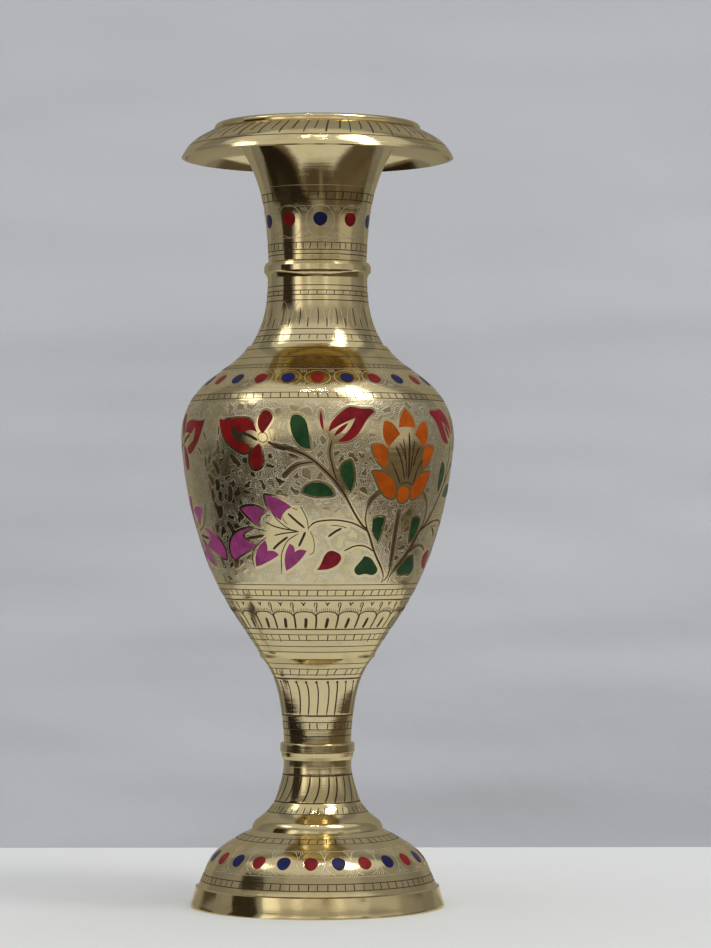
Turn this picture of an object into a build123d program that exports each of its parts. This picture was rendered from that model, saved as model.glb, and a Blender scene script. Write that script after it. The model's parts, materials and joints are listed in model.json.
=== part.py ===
from build123d import *
import math
import os

# A tall brass flower vase: a footed baluster body with a trumpet neck, engraved and set with coloured enamel.
# Millimetres, +Z up, origin on the table at the centre of the foot. Azimuth 0 faces -Y and grows towards +X.

os.makedirs("parts", exist_ok=True)

# ---------------------------------------------------------------- driving dimensions
WALL = 1.8            # thickness of the cast body, square to the surface
RIM_WALL = 1.4        # thickness of the turned-down brim
POCKET = 0.35         # depth of the carved recess under the enamel
PROUD = 0.06          # how far the enamel stands above the brass
REACH = 2.5           # half length of the blanks that cut the enamel out of its skin

FOOT_R = 49.5         # outer radius of the skirt on the table
FOOT_TOP = 57.0       # seat of the stem collar
STEM_SEAT = 63.6      # seat of the stem on its collar
CUP_SEAM = 119.2      # brazed seam between cup and belly
NECK_SEAM = 217.9     # brazed seam between belly and lower neck
NECK_SEAT = 244.2     # seat of the neck collar on the lower neck
TRUMPET_SEAT = 250.9  # seat of the trumpet on the neck collar
LIP_Z = 302.6         # level of the lip, under the mouth ring
TOP_Z = 305.0

THREAD_LENGTH = 6.0   # length of engagement of both screwed joints
RUNNING = 0.08        # radial clearance of both screwed joints
STEM_SPIGOT_R = 9.0
NECK_SPIGOT_R = 17.6
NECK_BORE_R = 16.5
WELL_R = 11.2
WELL_FLOOR = 69.0
LAP = 4.0             # length of the brazed laps
LAP_R = 24.8          # radius of the lap under the lower neck
LIP_R = 38.6          # radius of the trumpet's lip, where the brim is brazed on
BORE_TOP = 262.0      # top of the cylindrical bore of the neck

LOTUS_AXIS = 40.0     # azimuth of the plane about which each spray of flowers is mirrored

# Outer lines of the body as (radius, height), from the bottom up.
SKIRT = [(FOOT_R, 0.8), (48.2, 4.6), (47.5, 7.8)]
DOME = [(46.6, 8.2), (45.1, 11.1), (43.4, 15.3), (40.7, 19.8), (36.8, 23.3), (30.7, 27.1), (25.5, 29.9)]
FOOT_BEAD = [(25.5, 29.9), (25.0, 31.9), (23.4, 33.8)]
BELL = [(23.4, 33.8), (20.2, 36.3), (17.0, 40.3), (15.1, 45.2), (13.7, 50.5), (13.2, FOOT_TOP)]
STEM = [(13.1, STEM_SEAT), (13.3, 68.5), (14.2, 76.7), (15.8, 84.9), (18.5, 91.9), (21.7, 96.4)]
CUP = [(22.9, 98.9), (26.7, 104.8), (29.8, 109.5), (33.0, 114.2), (35.9, CUP_SEAM)]
BELLY = [(35.9, CUP_SEAM), (41.7, 130.7), (46.6, 144.7), (50.3, 158.8), (52.6, 174.0), (53.2, 183.0),
         (51.9, 191.3), (47.8, 199.2), (41.1, 205.8), (33.3, 211.6), (29.2, 215.4), (27.3, NECK_SEAM)]
LOWER_NECK = [(26.3, NECK_SEAM), (23.9, 222.2), (21.1, 229.2), (20.0, 235.1), (19.6, 239.5), (19.5, NECK_SEAT)]
TRUMPET = [(19.2, TRUMPET_SEAT), (19.5, 258.0), (20.4, 268.0), (22.3, 278.0), (24.6, 285.0), (27.8, 292.0),
           (32.0, 297.5), (LIP_R, 301.2)]
BRIM = [(53.2, 291.6), (52.0, 294.0), (49.9, 296.7), (46.8, 299.1), (43.4, 301.0), (40.3, LIP_Z)]
HOLLOW = [(47.6, 0.0), (46.0, 6.5), (42.0, 14.6), (38.8, 18.6), (35.2, 21.5), (29.4, 25.1), (23.0, 29.4),
          (18.4, 34.4), (15.0, 40.0), (12.8, 45.0), (STEM_SPIGOT_R + RUNNING, 48.5)]

# ---------------------------------------------------------------- enamelled shapes
# Each outline is drawn flat, x along the azimuth and y up the wall, as curves that meet at its corners.
TREFOIL_WING = [
    [(-9.1, 6.2), (-3.3, 5.9), (0.5, 6.3), (6.9, 5.0)],
    [(6.9, 5.0), (7.8, 3.2), (8.9, 0.7)],
    [(8.9, 0.7), (5.3, 1.6), (0.3, 1.4), (-2.4, 3.4), (-2.2, -0.1), (2.5, -3.2), (5.8, -4.5)],
    [(5.8, -4.5), (4.2, -6.7), (-0.8, -5.4), (-6.3, -0.7), (-9.1, 6.2)],
]
TREFOIL_UPPER = [[(-0.8, -4.3), (-2.4, -2.2), (-2.7, 2.0), (-0.2, 4.7), (2.9, 2.4), (2.0, -0.6), (-0.8, -4.3)]]
TREFOIL_LOWER = [[(1.6, 4.7), (-0.8, 3.0), (-2.7, -2.2), (-1.2, -5.0), (1.6, -4.3), (2.5, 0.0), (1.6, 4.7)]]
TULIP = [
    [(-9.3, -3.1), (-8.2, 0.3), (-4.5, 4.2), (-0.3, 6.5), (3.2, 5.9), (6.2, 5.9), (8.5, 5.4), (8.7, 4.3)],
    [(8.7, 4.3), (4.4, -0.4), (0.9, -5.1), (-2.4, -6.7), (-5.8, -6.6)],
    [(-5.8, -6.6), (-2.6, -3.8), (-0.4, -0.9), (1.1, 2.2)],
    [(1.1, 2.2), (-3.4, 0.2), (-9.3, -3.1)],
]
TULIP_SPINDLE = [[(-2.8, -2.4), (-1.2, 0.2), (2.9, 2.7)], [(2.9, 2.7), (0.7, -0.3), (-2.8, -2.4)]]
SLIVER = [[(-0.1, 4.1), (0.6, 0.6), (0.9, -4.0)], [(0.9, -4.0), (-0.6, 0.5), (-0.1, 4.1)]]
BUD = [
    [(2.7, 3.9), (-0.4, 3.9), (-2.2, 0.8), (-4.4, -3.4)],
    [(-4.4, -3.4), (-1.4, -3.3), (3.4, -1.3), (4.8, 1.0), (2.7, 3.9)],
]
LOTUS_TOP = [
    [(-4.2, -3.3), (-3.4, -0.2), (0.0, 4.3)],
    [(0.0, 4.3), (3.4, -0.2), (4.2, -3.3)],
    [(4.2, -3.3), (0.0, -3.0), (-4.2, -3.3)],
]
LOTUS_SHOULDER = [
    [(-3.2, 5.0), (-0.4, 4.7), (2.1, 2.5), (3.7, 0.3)],
    [(3.7, 0.3), (0.6, -2.6), (-1.4, -4.7)],
    [(-1.4, -4.7), (-3.4, -2.0), (-3.2, 5.0)],
]
LOTUS_SIDE = [
    [(-3.3, 3.7), (-0.2, 4.3), (3.1, 2.6)],
    [(3.1, 2.6), (3.5, -0.4), (2.7, -4.6)],
    [(2.7, -4.6), (0.0, -2.8), (-3.3, 3.7)],
]
LOTUS_BASE = [
    [(-5.3, 4.9), (-1.0, 4.7), (3.0, 2.4), (5.2, -1.5), (4.3, -5.3)],
    [(4.3, -5.3), (1.4, -4.4), (-2.6, 0.2), (-5.3, 4.9)],
]
LOTUS_BUD = [[(0.0, 2.9), (2.6, 1.4), (2.6, -1.3), (0.0, -3.1), (-2.6, -1.3), (-2.6, 1.4), (0.0, 2.9)]]
BLOSSOM_UPPER = [
    [(-4.9, 4.6), (-1.1, 3.9), (5.3, 0.0)],
    [(5.3, 0.0), (2.7, -1.6), (0.7, -5.1)],
    [(0.7, -5.1), (-3.6, -0.5), (-4.9, 4.6)],
]
BLOSSOM_LEFT = [
    [(-5.1, 3.1), (-1.0, 4.1), (3.2, 3.4), (5.3, 1.7)],
    [(5.3, 1.7), (3.0, 0.3), (2.3, -3.9)],
    [(2.3, -3.9), (-0.8, -1.4), (-5.1, 3.1)],
]
BLOSSOM_SIDE = [
    [(6.7, 6.3), (0.8, 5.4), (-4.3, 2.3), (-6.5, -2.8), (-5.4, -6.2)],
    [(-5.4, -6.2), (0.0, -3.7), (7.0, -0.6)],
    [(7.0, -0.6), (4.6, 0.5), (2.1, 2.3), (6.7, 6.3)],
]
BLOSSOM_HEART = [
    [(0.8, 5.3), (-1.8, 3.4), (-4.6, -1.6), (-4.9, -5.4)],
    [(-4.9, -5.4), (0.2, -3.5), (5.5, -0.6)],
    [(5.5, -0.6), (4.4, 0.6), (1.0, 1.0)],
    [(1.0, 1.0), (1.2, 3.6), (0.8, 5.3)],
]
BLOSSOM_LOWER = [
    [(-1.9, 5.5), (-3.7, 1.8), (-3.9, -5.4)],
    [(-3.9, -5.4), (0.5, -2.2), (4.5, 2.6)],
    [(4.5, 2.6), (2.1, 3.2), (-0.2, 2.1)],
    [(-0.2, 2.1), (-0.5, 4.6), (-1.9, 5.5)],
]
LEAF_UPPER = [
    [(-3.9, 3.6), (-2.1, 6.4), (0.4, 5.8), (3.0, 0.8), (3.9, -6.5)],
    [(3.9, -6.5), (0.4, -5.7), (-2.8, -1.7), (-3.9, 3.6)],
]
LEAF_INNER = [[(1.1, 6.2), (-2.6, 2.6), (-1.7, -1.0), (1.4, -6.0)], [(1.4, -6.0), (2.6, 0.5), (1.1, 6.2)]]
LEAF_FLAT = [[(-6.0, -1.4), (-3.4, 1.8), (0.6, 2.3), (5.7, -2.5)], [(5.7, -2.5), (-0.5, -3.0), (-6.0, -1.4)]]
LEAF_WEDGE = [
    [(-2.3, 4.2), (0.0, 5.0), (2.5, 4.7)],
    [(2.5, 4.7), (2.2, 0.6), (1.2, -4.9)],
    [(1.2, -4.9), (-1.7, -0.5), (-2.3, 4.2)],
]
LEAF_TREFOIL = [
    [(-2.2, 3.7), (-3.9, 0.8), (-5.1, -2.2), (-3.5, -3.9), (-0.3, -3.5), (3.4, -3.9), (4.6, -2.6), (3.2, 0.4),
     (0.7, 3.0), (-2.2, 3.7)],
]

# Shapes of one spray, as (outline, azimuth, height), by colour of enamel.
RED_TREFOIL = [(TREFOIL_WING, -35.0, 182.5), (TREFOIL_UPPER, -22.0, 187.0), (TREFOIL_LOWER, -26.0, 174.5)]
CRIMSON_TULIP = [(TULIP, 14.5, 186.5), (TULIP_SPINDLE, 9.5, 184.0), (SLIVER, 1.5, 187.5)]
CRIMSON_BUD = [(BUD, 5.5, 134.5)]
ORANGE_LOTUS = [(LOTUS_SHOULDER, 32.0, 182.5), (LOTUS_SIDE, 26.5, 174.5), (LOTUS_BASE, 29.5, 163.5)]
ORANGE_LOTUS_MIDDLE = [(LOTUS_TOP, LOTUS_AXIS, 188.5), (LOTUS_BUD, LOTUS_AXIS, 160.0)]
MAGENTA_BLOSSOM = [(BLOSSOM_UPPER, -17.5, 155.0), (BLOSSOM_LEFT, -30.0, 151.5), (BLOSSOM_SIDE, -39.5, 141.0),
                   (BLOSSOM_HEART, -26.5, 137.5), (BLOSSOM_LOWER, -11.0, 136.0)]
GREEN_LEAVES = [(LEAF_UPPER, -7.0, 183.5), (LEAF_INNER, 12.5, 166.5), (LEAF_FLAT, 0.5, 162.0),
                (LEAF_WEDGE, 28.5, 146.5), (LEAF_TREFOIL, 26.5, 133.0)]


# ---------------------------------------------------------------- shared geometry
def inset(line, depth, stations=14):
    """Points of a line moved towards the axis, square to itself, by depth."""
    points = []
    for i in range(stations + 1):
        along = line % (i / stations)
        points.append(line @ (i / stations) + Vector(-along.Y, along.X) * depth)
    return points


def touching_plane(outline, azimuth, height):
    """The plane that touches the wall of a turned piece at an azimuth and a height."""
    line = Spline(*outline)
    low, high = 0.0, 1.0
    while high - low > 1e-4:
        middle = (low + high) / 2
        if (line @ middle).Y < height:
            low = middle
        else:
            high = middle
    point, along = line @ low, line % low
    turn = math.radians(azimuth)
    outward = Vector(math.sin(turn), -math.cos(turn), 0)
    return Plane(
        origin=outward * point.X + Vector(0, 0, point.Y),
        x_dir=(math.cos(turn), math.sin(turn), 0),
        z_dir=outward * along.Y - Vector(0, 0, along.X),
    )


def enamel_skin(outline, name):
    """The thin skin of a turned piece in which its enamel lies, from the pocket floor to the enamel's face."""
    with BuildPart() as skin:
        with BuildSketch(Plane.XZ):
            with BuildLine():
                line = Spline(*outline, mode=Mode.PRIVATE)
                face = Spline(*inset(line, -PROUD))
                floor = Spline(*inset(line, POCKET))
                Line(face @ 0, floor @ 0)
                Line(face @ 1, floor @ 1)
            make_face()
        revolve(axis=Axis.Z)
    skin.part.label = name
    return skin.part


def spray_copies(azimuth):
    """The four places of a shape: two sprays stand opposite, and each is mirrored about its lotus."""
    mirrored = 2 * LOTUS_AXIS - azimuth
    return [(azimuth, 1), (azimuth + 180, 1), (mirrored, -1), (mirrored + 180, -1)]


def spray_enamel(shapes, skin, paired=True):
    """The enamel of one colour in all the sprays: each shape cut through the skin of the belly."""
    with BuildPart() as enamel:
        for outline, azimuth, height in shapes:
            places = spray_copies(azimuth) if paired else spray_copies(azimuth)[:2]
            for place, hand in places:
                with BuildSketch(touching_plane(BELLY, place, height)):
                    with BuildLine():
                        for run in outline:
                            Spline(*[(hand * x, y) for x, y in run])
                    make_face()
        extrude(amount=REACH, both=True)
        add(skin, mode=Mode.INTERSECT)
    return enamel.part


def dot_row(outline, skin, count, first, height, width, length):
    """Every second dot of a row round the body, a slightly uneven oval each."""
    with BuildPart() as dots:
        for i in range(count // 2):
            azimuth = first + i * 720 / count
            with BuildSketch(touching_plane(outline, azimuth, height)):
                with BuildLine():
                    rim = []
                    for step in range(8):
                        angle = step * math.pi / 4
                        swell = 1 + 0.03 * math.sin(3 * angle + 1.7 * i)
                        rim.append((width / 2 * swell * math.cos(angle), length / 2 * swell * math.sin(angle)))
                    Spline(*rim, periodic=True)
                make_face()
        extrude(amount=REACH, both=True)
        add(skin, mode=Mode.INTERSECT)
    return dots.part


# ---------------------------------------------------------------- inner lines of the belly
SEAM_STATIONS = 30
SEAM_HALF = inset(Spline(*BELLY), WALL / 2, SEAM_STATIONS)
SEAM_FULL = inset(Spline(*BELLY), WALL, SEAM_STATIONS)

# ---------------------------------------------------------------- enamel
belly_skin = enamel_skin(BELLY, "belly_skin")
dome_skin = enamel_skin(DOME, "dome_skin")
neck_skin = enamel_skin(TRUMPET, "neck_skin")

belly_enamel = {
    "trefoil_enamel_red": spray_enamel(RED_TREFOIL, belly_skin),
    "tulip_enamel_crimson": spray_enamel(CRIMSON_TULIP, belly_skin),
    "bud_enamel_crimson": spray_enamel(CRIMSON_BUD, belly_skin),
    "lotus_petals_orange": spray_enamel(ORANGE_LOTUS, belly_skin),
    "lotus_middle_orange": spray_enamel(ORANGE_LOTUS_MIDDLE, belly_skin, paired=False),
    "blossom_enamel_magenta": spray_enamel(MAGENTA_BLOSSOM, belly_skin),
    "leaf_enamel_green": spray_enamel(GREEN_LEAVES, belly_skin),
    "shoulder_dots_red": dot_row(BELLY, belly_skin, count=24, first=0.0, height=204.2, width=5.2, length=5.6),
    "shoulder_dots_blue": dot_row(BELLY, belly_skin, count=24, first=15.0, height=204.2, width=5.2, length=5.6),
}
neck_enamel = {
    "neck_dots_blue": dot_row(TRUMPET, neck_skin, count=10, first=3.0, height=266.4, width=5.4, length=5.4),
    "neck_dots_red": dot_row(TRUMPET, neck_skin, count=10, first=39.0, height=266.4, width=5.4, length=5.4),
}
foot_enamel = {
    "foot_dots_red": dot_row(DOME, dome_skin, count=24, first=-3.5, height=20.2, width=5.3, length=5.9),
    "foot_dots_blue": dot_row(DOME, dome_skin, count=24, first=11.5, height=20.2, width=5.3, length=5.9),
}

# ---------------------------------------------------------------- foot: a hollow bell on a skirt
with BuildPart() as foot:
    with BuildSketch(Plane.XZ):
        with BuildLine():
            Polyline(HOLLOW[0], (FOOT_R, 0), SKIRT[0])
            ThreePointArc(*SKIRT)
            Line(SKIRT[-1], DOME[0])
            Spline(*DOME)
            ThreePointArc(*FOOT_BEAD)
            Spline(*BELL)
            Polyline(BELL[-1], (STEM_SPIGOT_R + RUNNING, FOOT_TOP), HOLLOW[-1])
            Spline(*HOLLOW)
        make_face()
    revolve(axis=Axis.Z)
    for dots in foot_enamel.values():
        add(dots, mode=Mode.SUBTRACT)
foot.part.label = "foot"
export_step(foot.part, "parts/foot.step")

# ---------------------------------------------------------------- stem collar: a sharp band over a taper
with BuildPart() as stem_collar:
    with BuildSketch(Plane.XZ):
        with BuildLine():
            Polyline((13.9, STEM_SEAT), (STEM_SPIGOT_R + RUNNING, STEM_SEAT), (STEM_SPIGOT_R + RUNNING, FOOT_TOP),
                     (13.3, FOOT_TOP), (13.9, 58.3), (14.1, 59.8), (14.5, 60.1), (14.5, 62.8))
            ThreePointArc((14.5, 62.8), (14.3, 63.35), (13.9, STEM_SEAT))
        make_face()
    revolve(axis=Axis.Z)
stem_collar.part.label = "stem_collar"
export_step(stem_collar.part, "parts/stem_collar.step")

# ---------------------------------------------------------------- lower body: spigot, stem and cup in one casting
with BuildPart() as lower_body:
    with BuildSketch(Plane.XZ):
        with BuildLine():
            stem = Spline(*STEM)
            Polyline(STEM[-1], (22.3, 96.8), CUP[0])
            cup = Spline(*CUP)
            stem_inside = Spline(*inset(stem, WALL)[4:])
            cup_inside = Spline(*inset(cup, WALL)[:-1], SEAM_FULL[0])
            Line(stem_inside @ 1, cup_inside @ 0)
            Polyline(cup @ 1, SEAM_HALF[0], SEAM_HALF[1], SEAM_FULL[1], SEAM_FULL[0])
            Polyline(stem_inside @ 0, (WELL_R, WELL_FLOOR + 2.0), (WELL_R, WELL_FLOOR), (9.6, WELL_FLOOR),
                     (9.6, 67.5), (7.4, 65.3), (7.4, FOOT_TOP - THREAD_LENGTH),
                     (STEM_SPIGOT_R, FOOT_TOP - THREAD_LENGTH), (STEM_SPIGOT_R, STEM_SEAT), STEM[0])
        make_face()
    revolve(axis=Axis.Z)
lower_body.part.label = "lower_body"
export_step(lower_body.part, "parts/lower_body.step")

# ---------------------------------------------------------------- well disc: closes the foot of the well
with BuildPart() as well_disc:
    with BuildSketch(Plane.XY.offset(WELL_FLOOR)):
        Circle(WELL_R)
    extrude(amount=1.5)
    chamfer(well_disc.edges().group_by(Axis.Z)[-1], length=0.4)
well_disc.part.label = "well_disc"
export_step(well_disc.part, "parts/well_disc.step")

# ---------------------------------------------------------------- belly shell, rebated over the tongue of the cup
with BuildPart() as belly_shell:
    with BuildSketch(Plane.XZ):
        with BuildLine():
            belly = Spline(*BELLY)
            belly_inside = Spline(*SEAM_FULL[1:-1])
            Polyline(belly_inside @ 1, (LAP_R, (belly_inside @ 1).Y), (LAP_R, NECK_SEAM), BELLY[-1])
            Polyline(belly @ 0, SEAM_HALF[0], SEAM_HALF[1], SEAM_FULL[1])
        make_face()
    revolve(axis=Axis.Z)
    for shapes in belly_enamel.values():
        add(shapes, mode=Mode.SUBTRACT)
belly_shell.part.label = "belly_shell"
export_step(belly_shell.part, "parts/belly_shell.step")

# ---------------------------------------------------------------- lower neck: lap below, threaded socket above
with BuildPart() as lower_neck:
    with BuildSketch(Plane.XZ):
        with BuildLine():
            neck_wall = Spline(*LOWER_NECK)
            neck_inside = Spline((LAP_R - 1.6, NECK_SEAM - LAP), (LAP_R - 1.6, NECK_SEAM - 1.0),
                                 *inset(neck_wall, WALL)[2:8], (NECK_SPIGOT_R + RUNNING, NECK_SEAT - THREAD_LENGTH - 1))
            Polyline(neck_wall @ 0, (LAP_R, NECK_SEAM), (LAP_R, NECK_SEAM - LAP), neck_inside @ 0)
            Polyline(neck_inside @ 1, (NECK_SPIGOT_R + RUNNING, NECK_SEAT), neck_wall @ 1)
        make_face()
    revolve(axis=Axis.Z)
lower_neck.part.label = "lower_neck"
export_step(lower_neck.part, "parts/lower_neck.step")

# ---------------------------------------------------------------- neck collar: a bevelled band on a fillet
with BuildPart() as neck_collar:
    with BuildSketch(Plane.XZ):
        with BuildLine():
            ThreePointArc((19.5, NECK_SEAT), (19.9, 245.7), (20.9, 246.9))
            Polyline((20.9, 246.9), (20.9, 249.0), (20.3, 250.3), (19.4, TRUMPET_SEAT),
                     (NECK_SPIGOT_R + RUNNING, TRUMPET_SEAT), (NECK_SPIGOT_R + RUNNING, NECK_SEAT),
                     (19.5, NECK_SEAT))
        make_face()
    revolve(axis=Axis.Z)
neck_collar.part.label = "neck_collar"
export_step(neck_collar.part, "parts/neck_collar.step")

# ---------------------------------------------------------------- trumpet: threaded spigot, bore and flared mouth
with BuildPart() as trumpet:
    with BuildSketch(Plane.XZ):
        with BuildLine():
            flare = Spline(*TRUMPET)
            flare_inside = Spline((NECK_BORE_R, BORE_TOP), *inset(flare, WALL)[6:-1], (36.8, LIP_Z))
            Polyline(flare @ 1, (LIP_R, LIP_Z), flare_inside @ 1)
            Polyline(flare @ 0, (NECK_SPIGOT_R, TRUMPET_SEAT), (NECK_SPIGOT_R, NECK_SEAT - THREAD_LENGTH),
                     (NECK_BORE_R, NECK_SEAT - THREAD_LENGTH), (NECK_BORE_R, BORE_TOP))
        make_face()
    revolve(axis=Axis.Z)
    for dots in neck_enamel.values():
        add(dots, mode=Mode.SUBTRACT)
trumpet.part.label = "trumpet"
export_step(trumpet.part, "parts/trumpet.step")

# ---------------------------------------------------------------- brim: a thin turned-down umbrella round the lip
with BuildPart() as brim:
    with BuildSketch(Plane.XZ):
        with BuildLine():
            top = Spline(*BRIM)
            under = Spline(*inset(top, RIM_WALL))
            ThreePointArc(top @ 0, (52.5, 291.0), under @ 0)
            Polyline(top @ 1, (LIP_R, LIP_Z), TRUMPET[-1], under @ 1)
        make_face()
    revolve(axis=Axis.Z)
brim.part.label = "brim"
export_step(brim.part, "parts/brim.step")

# ---------------------------------------------------------------- mouth ring: a half-round bead over the joint
with BuildPart() as mouth_ring:
    with BuildSketch(Plane.XZ):
        with BuildLine():
            Polyline((36.8, 303.3), (36.8, LIP_Z), BRIM[-1], (40.3, 303.3))
            ThreePointArc((40.3, 303.3), (38.55, TOP_Z), (36.8, 303.3))
        make_face()
    revolve(axis=Axis.Z)
mouth_ring.part.label = "mouth_ring"
export_step(mouth_ring.part, "parts/mouth_ring.step")

# ---------------------------------------------------------------- enamel nodes, one for each colour and kind of shape
for label, piece in {**belly_enamel, **neck_enamel, **foot_enamel}.items():
    piece.label = label
    export_step(piece, f"parts/{label}.step")
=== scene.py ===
import json
import math
import random

import bpy
import numpy as np
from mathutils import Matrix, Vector
from mathutils.bvhtree import BVHTree
from mathutils.kdtree import KDTree


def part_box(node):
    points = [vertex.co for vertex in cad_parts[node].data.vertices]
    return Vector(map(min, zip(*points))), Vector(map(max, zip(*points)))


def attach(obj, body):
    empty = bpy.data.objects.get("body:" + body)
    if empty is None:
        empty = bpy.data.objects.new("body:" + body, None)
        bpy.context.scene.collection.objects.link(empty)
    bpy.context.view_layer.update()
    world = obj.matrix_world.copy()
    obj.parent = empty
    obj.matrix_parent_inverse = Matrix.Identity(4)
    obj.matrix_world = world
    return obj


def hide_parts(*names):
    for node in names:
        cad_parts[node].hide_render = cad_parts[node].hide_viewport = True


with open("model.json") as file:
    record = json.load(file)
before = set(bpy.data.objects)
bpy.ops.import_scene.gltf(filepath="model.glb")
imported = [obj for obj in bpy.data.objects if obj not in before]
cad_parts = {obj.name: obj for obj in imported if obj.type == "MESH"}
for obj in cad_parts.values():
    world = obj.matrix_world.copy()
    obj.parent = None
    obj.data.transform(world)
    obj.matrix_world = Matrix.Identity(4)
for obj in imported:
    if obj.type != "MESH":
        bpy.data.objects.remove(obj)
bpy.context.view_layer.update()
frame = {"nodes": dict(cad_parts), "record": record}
nodes = frame["nodes"]
MM = 0.001
hand = random.Random(11)      # the unevenness of the engraver's hand

# ---------------------------------------------------------------- sizes shared by the bands, millimetres
FIELD_BOTTOM, FIELD_TOP = 126.4, 195.4      # the matted ground of the belly
FIELD_MIDDLE, FIELD_HALF = (FIELD_TOP + FIELD_BOTTOM) / 2, (FIELD_TOP - FIELD_BOTTOM) / 2
LOTUS_AXIS = 40.0                 # azimuth of the plane about which each spray of flowers is mirrored
LINE, LINE_DEPTH = 0.34, 0.05     # width and depth of an engraved line filled with lac
FINE, FINE_DEPTH = 0.20, 0.08     # width and depth of a bright line left unfilled
DOTS = 24                         # enamel dots round the shoulder, and round the foot
NECK_DOTS = 10                    # enamel dots round the trumpet
MARGIN_REACH = 3.0                # how far from a motif its plain margin is still worked out
UNROLLED_RADIUS = 50.0            # radius at which the belly is unrolled for the hatching


def add(name, data):
    """Makes an object and links it to the scene."""
    made = bpy.data.objects.new(name, data)
    bpy.context.scene.collection.objects.link(made)
    return made


def add_mesh(name, points, faces, *materials):
    mesh = bpy.data.meshes.new(name)
    mesh.from_pydata(points, [], faces)
    for material in materials:
        mesh.materials.append(material)
    return add(name, mesh)


# ---------------------------------------------------------------- shader graph helper
class Graph:
    """Builds one material's nodes; every method returns an output socket."""

    def __init__(self, name):
        self.material = bpy.data.materials.new(name)
        self.material.use_nodes = True
        self.tree = self.material.node_tree
        self.tree.nodes.clear()
        self.out = self.tree.nodes.new("ShaderNodeOutputMaterial")
        self.shader = self.tree.nodes.new("ShaderNodeBsdfPrincipled")
        self.tree.links.new(self.shader.outputs[0], self.out.inputs["Surface"])
        self.place = self.node("ShaderNodeTexCoord").outputs["Object"]

    def node(self, kind, **settings):
        made = self.tree.nodes.new(kind)
        for key, value in settings.items():
            setattr(made, key, value)
        return made

    def put(self, socket, value):
        if isinstance(value, bpy.types.NodeSocket):
            self.tree.links.new(value, socket)
        else:
            socket.default_value = value

    def set(self, **values):
        for key, value in values.items():
            self.put(self.shader.inputs[key.replace("_", " ")], value)

    def math(self, operation, a, b=0.0, clamp=False):
        made = self.node("ShaderNodeMath", operation=operation, use_clamp=clamp)
        self.put(made.inputs[0], a)
        self.put(made.inputs[1], b)
        return made.outputs[0]

    def step(self, value, low, high, to_low=0.0, to_high=1.0):
        """A smooth ramp of a value between two limits."""
        made = self.node("ShaderNodeMapRange", interpolation_type="SMOOTHSTEP")
        self.put(made.inputs["Value"], value)
        made.inputs["From Min"].default_value = low
        made.inputs["From Max"].default_value = high
        made.inputs["To Min"].default_value = to_low
        made.inputs["To Max"].default_value = to_high
        return made.outputs[0]

    def mix(self, factor, a, b):
        """Mixes two colours."""
        made = self.node("ShaderNodeMix", data_type="RGBA")
        self.put(made.inputs["Factor"], factor)
        self.put(made.inputs[6], a)
        self.put(made.inputs[7], b)
        return made.outputs[2]

    def blend(self, factor, a, b):
        """Mixes two numbers."""
        made = self.node("ShaderNodeMix", data_type="FLOAT")
        self.put(made.inputs["Factor"], factor)
        self.put(made.inputs[2], a)
        self.put(made.inputs[3], b)
        return made.outputs[0]

    def stretched(self, x, y, z):
        made = self.node("ShaderNodeMapping")
        self.put(made.inputs["Vector"], self.place)
        made.inputs["Scale"].default_value = (x, y, z)
        return made.outputs[0]

    def noise(self, per_metre, detail=2.0, rough=0.5, vector=None):
        made = self.node("ShaderNodeTexNoise")
        self.put(made.inputs["Vector"], vector or self.place)
        made.inputs["Scale"].default_value = per_metre
        made.inputs["Detail"].default_value = detail
        made.inputs["Roughness"].default_value = rough
        return made.outputs[0]

    def attribute(self, name):
        return self.node("ShaderNodeAttribute", attribute_name=name).outputs["Fac"]

    def bump(self, height, strength, distance, normal=None):
        made = self.node("ShaderNodeBump")
        made.inputs["Strength"].default_value = strength
        made.inputs["Distance"].default_value = distance
        self.put(made.inputs["Height"], height)
        if normal:
            self.put(made.inputs["Normal"], normal)
        return made.outputs[0]


# ---------------------------------------------------------------- materials
BRASS = (0.68, 0.555, 0.295, 1)
BRASS_DEEP = (0.50, 0.375, 0.160, 1)
BRASS_WORN = (0.74, 0.635, 0.385, 1)
# colour of fresh cuts, made lighter and whiter as painted sheen of the light they catch
BRASS_CUT_AND_SHEEN = (0.78, 0.74, 0.62, 1)
EDGE_TINT = (0.80, 0.72, 0.55, 1)


def polished(graph, wave=1.0):
    """Colour, roughness and normal of hand-polished cast brass."""
    cloud = graph.noise(28, 3.0, 0.55)
    tarnish = graph.step(graph.noise(75, 5.0, 0.62), 0.52, 0.74)
    colour = graph.mix(cloud, BRASS, BRASS_WORN)
    colour = graph.mix(graph.math("MULTIPLY", tarnish, 0.45), colour, BRASS_DEEP)
    turning = graph.noise(1, 3.0, 0.6, graph.stretched(30, 30, 5200))
    scratches = graph.step(graph.noise(1, 2.0, 0.5, graph.stretched(2600, 2600, 180)), 0.60, 0.72)
    smear = graph.step(graph.noise(42, 4.0, 0.6), 0.42, 0.70)
    rough = graph.math("ADD", 0.06, graph.math("MULTIPLY", smear, 0.07))
    rough = graph.math("ADD", rough, graph.math("MULTIPLY", turning, 0.05))
    rough = graph.math("ADD", rough, graph.math("MULTIPLY", scratches, 0.06))
    hammered = graph.bump(graph.noise(55, 1.0, 0.4), 0.35 * wave, 0.0011)
    lathe = graph.bump(turning, 0.10, 0.00018, hammered)
    return colour, rough, graph.bump(scratches, 0.08, 0.00005, lathe)


def brass(name, wave=1.0):
    graph = Graph(name)
    colour, rough, normal = polished(graph, wave)
    graph.set(Base_Color=colour, Roughness=rough, Normal=normal, Metallic=1.0, Specular_Tint=EDGE_TINT)
    return graph.material


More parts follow.
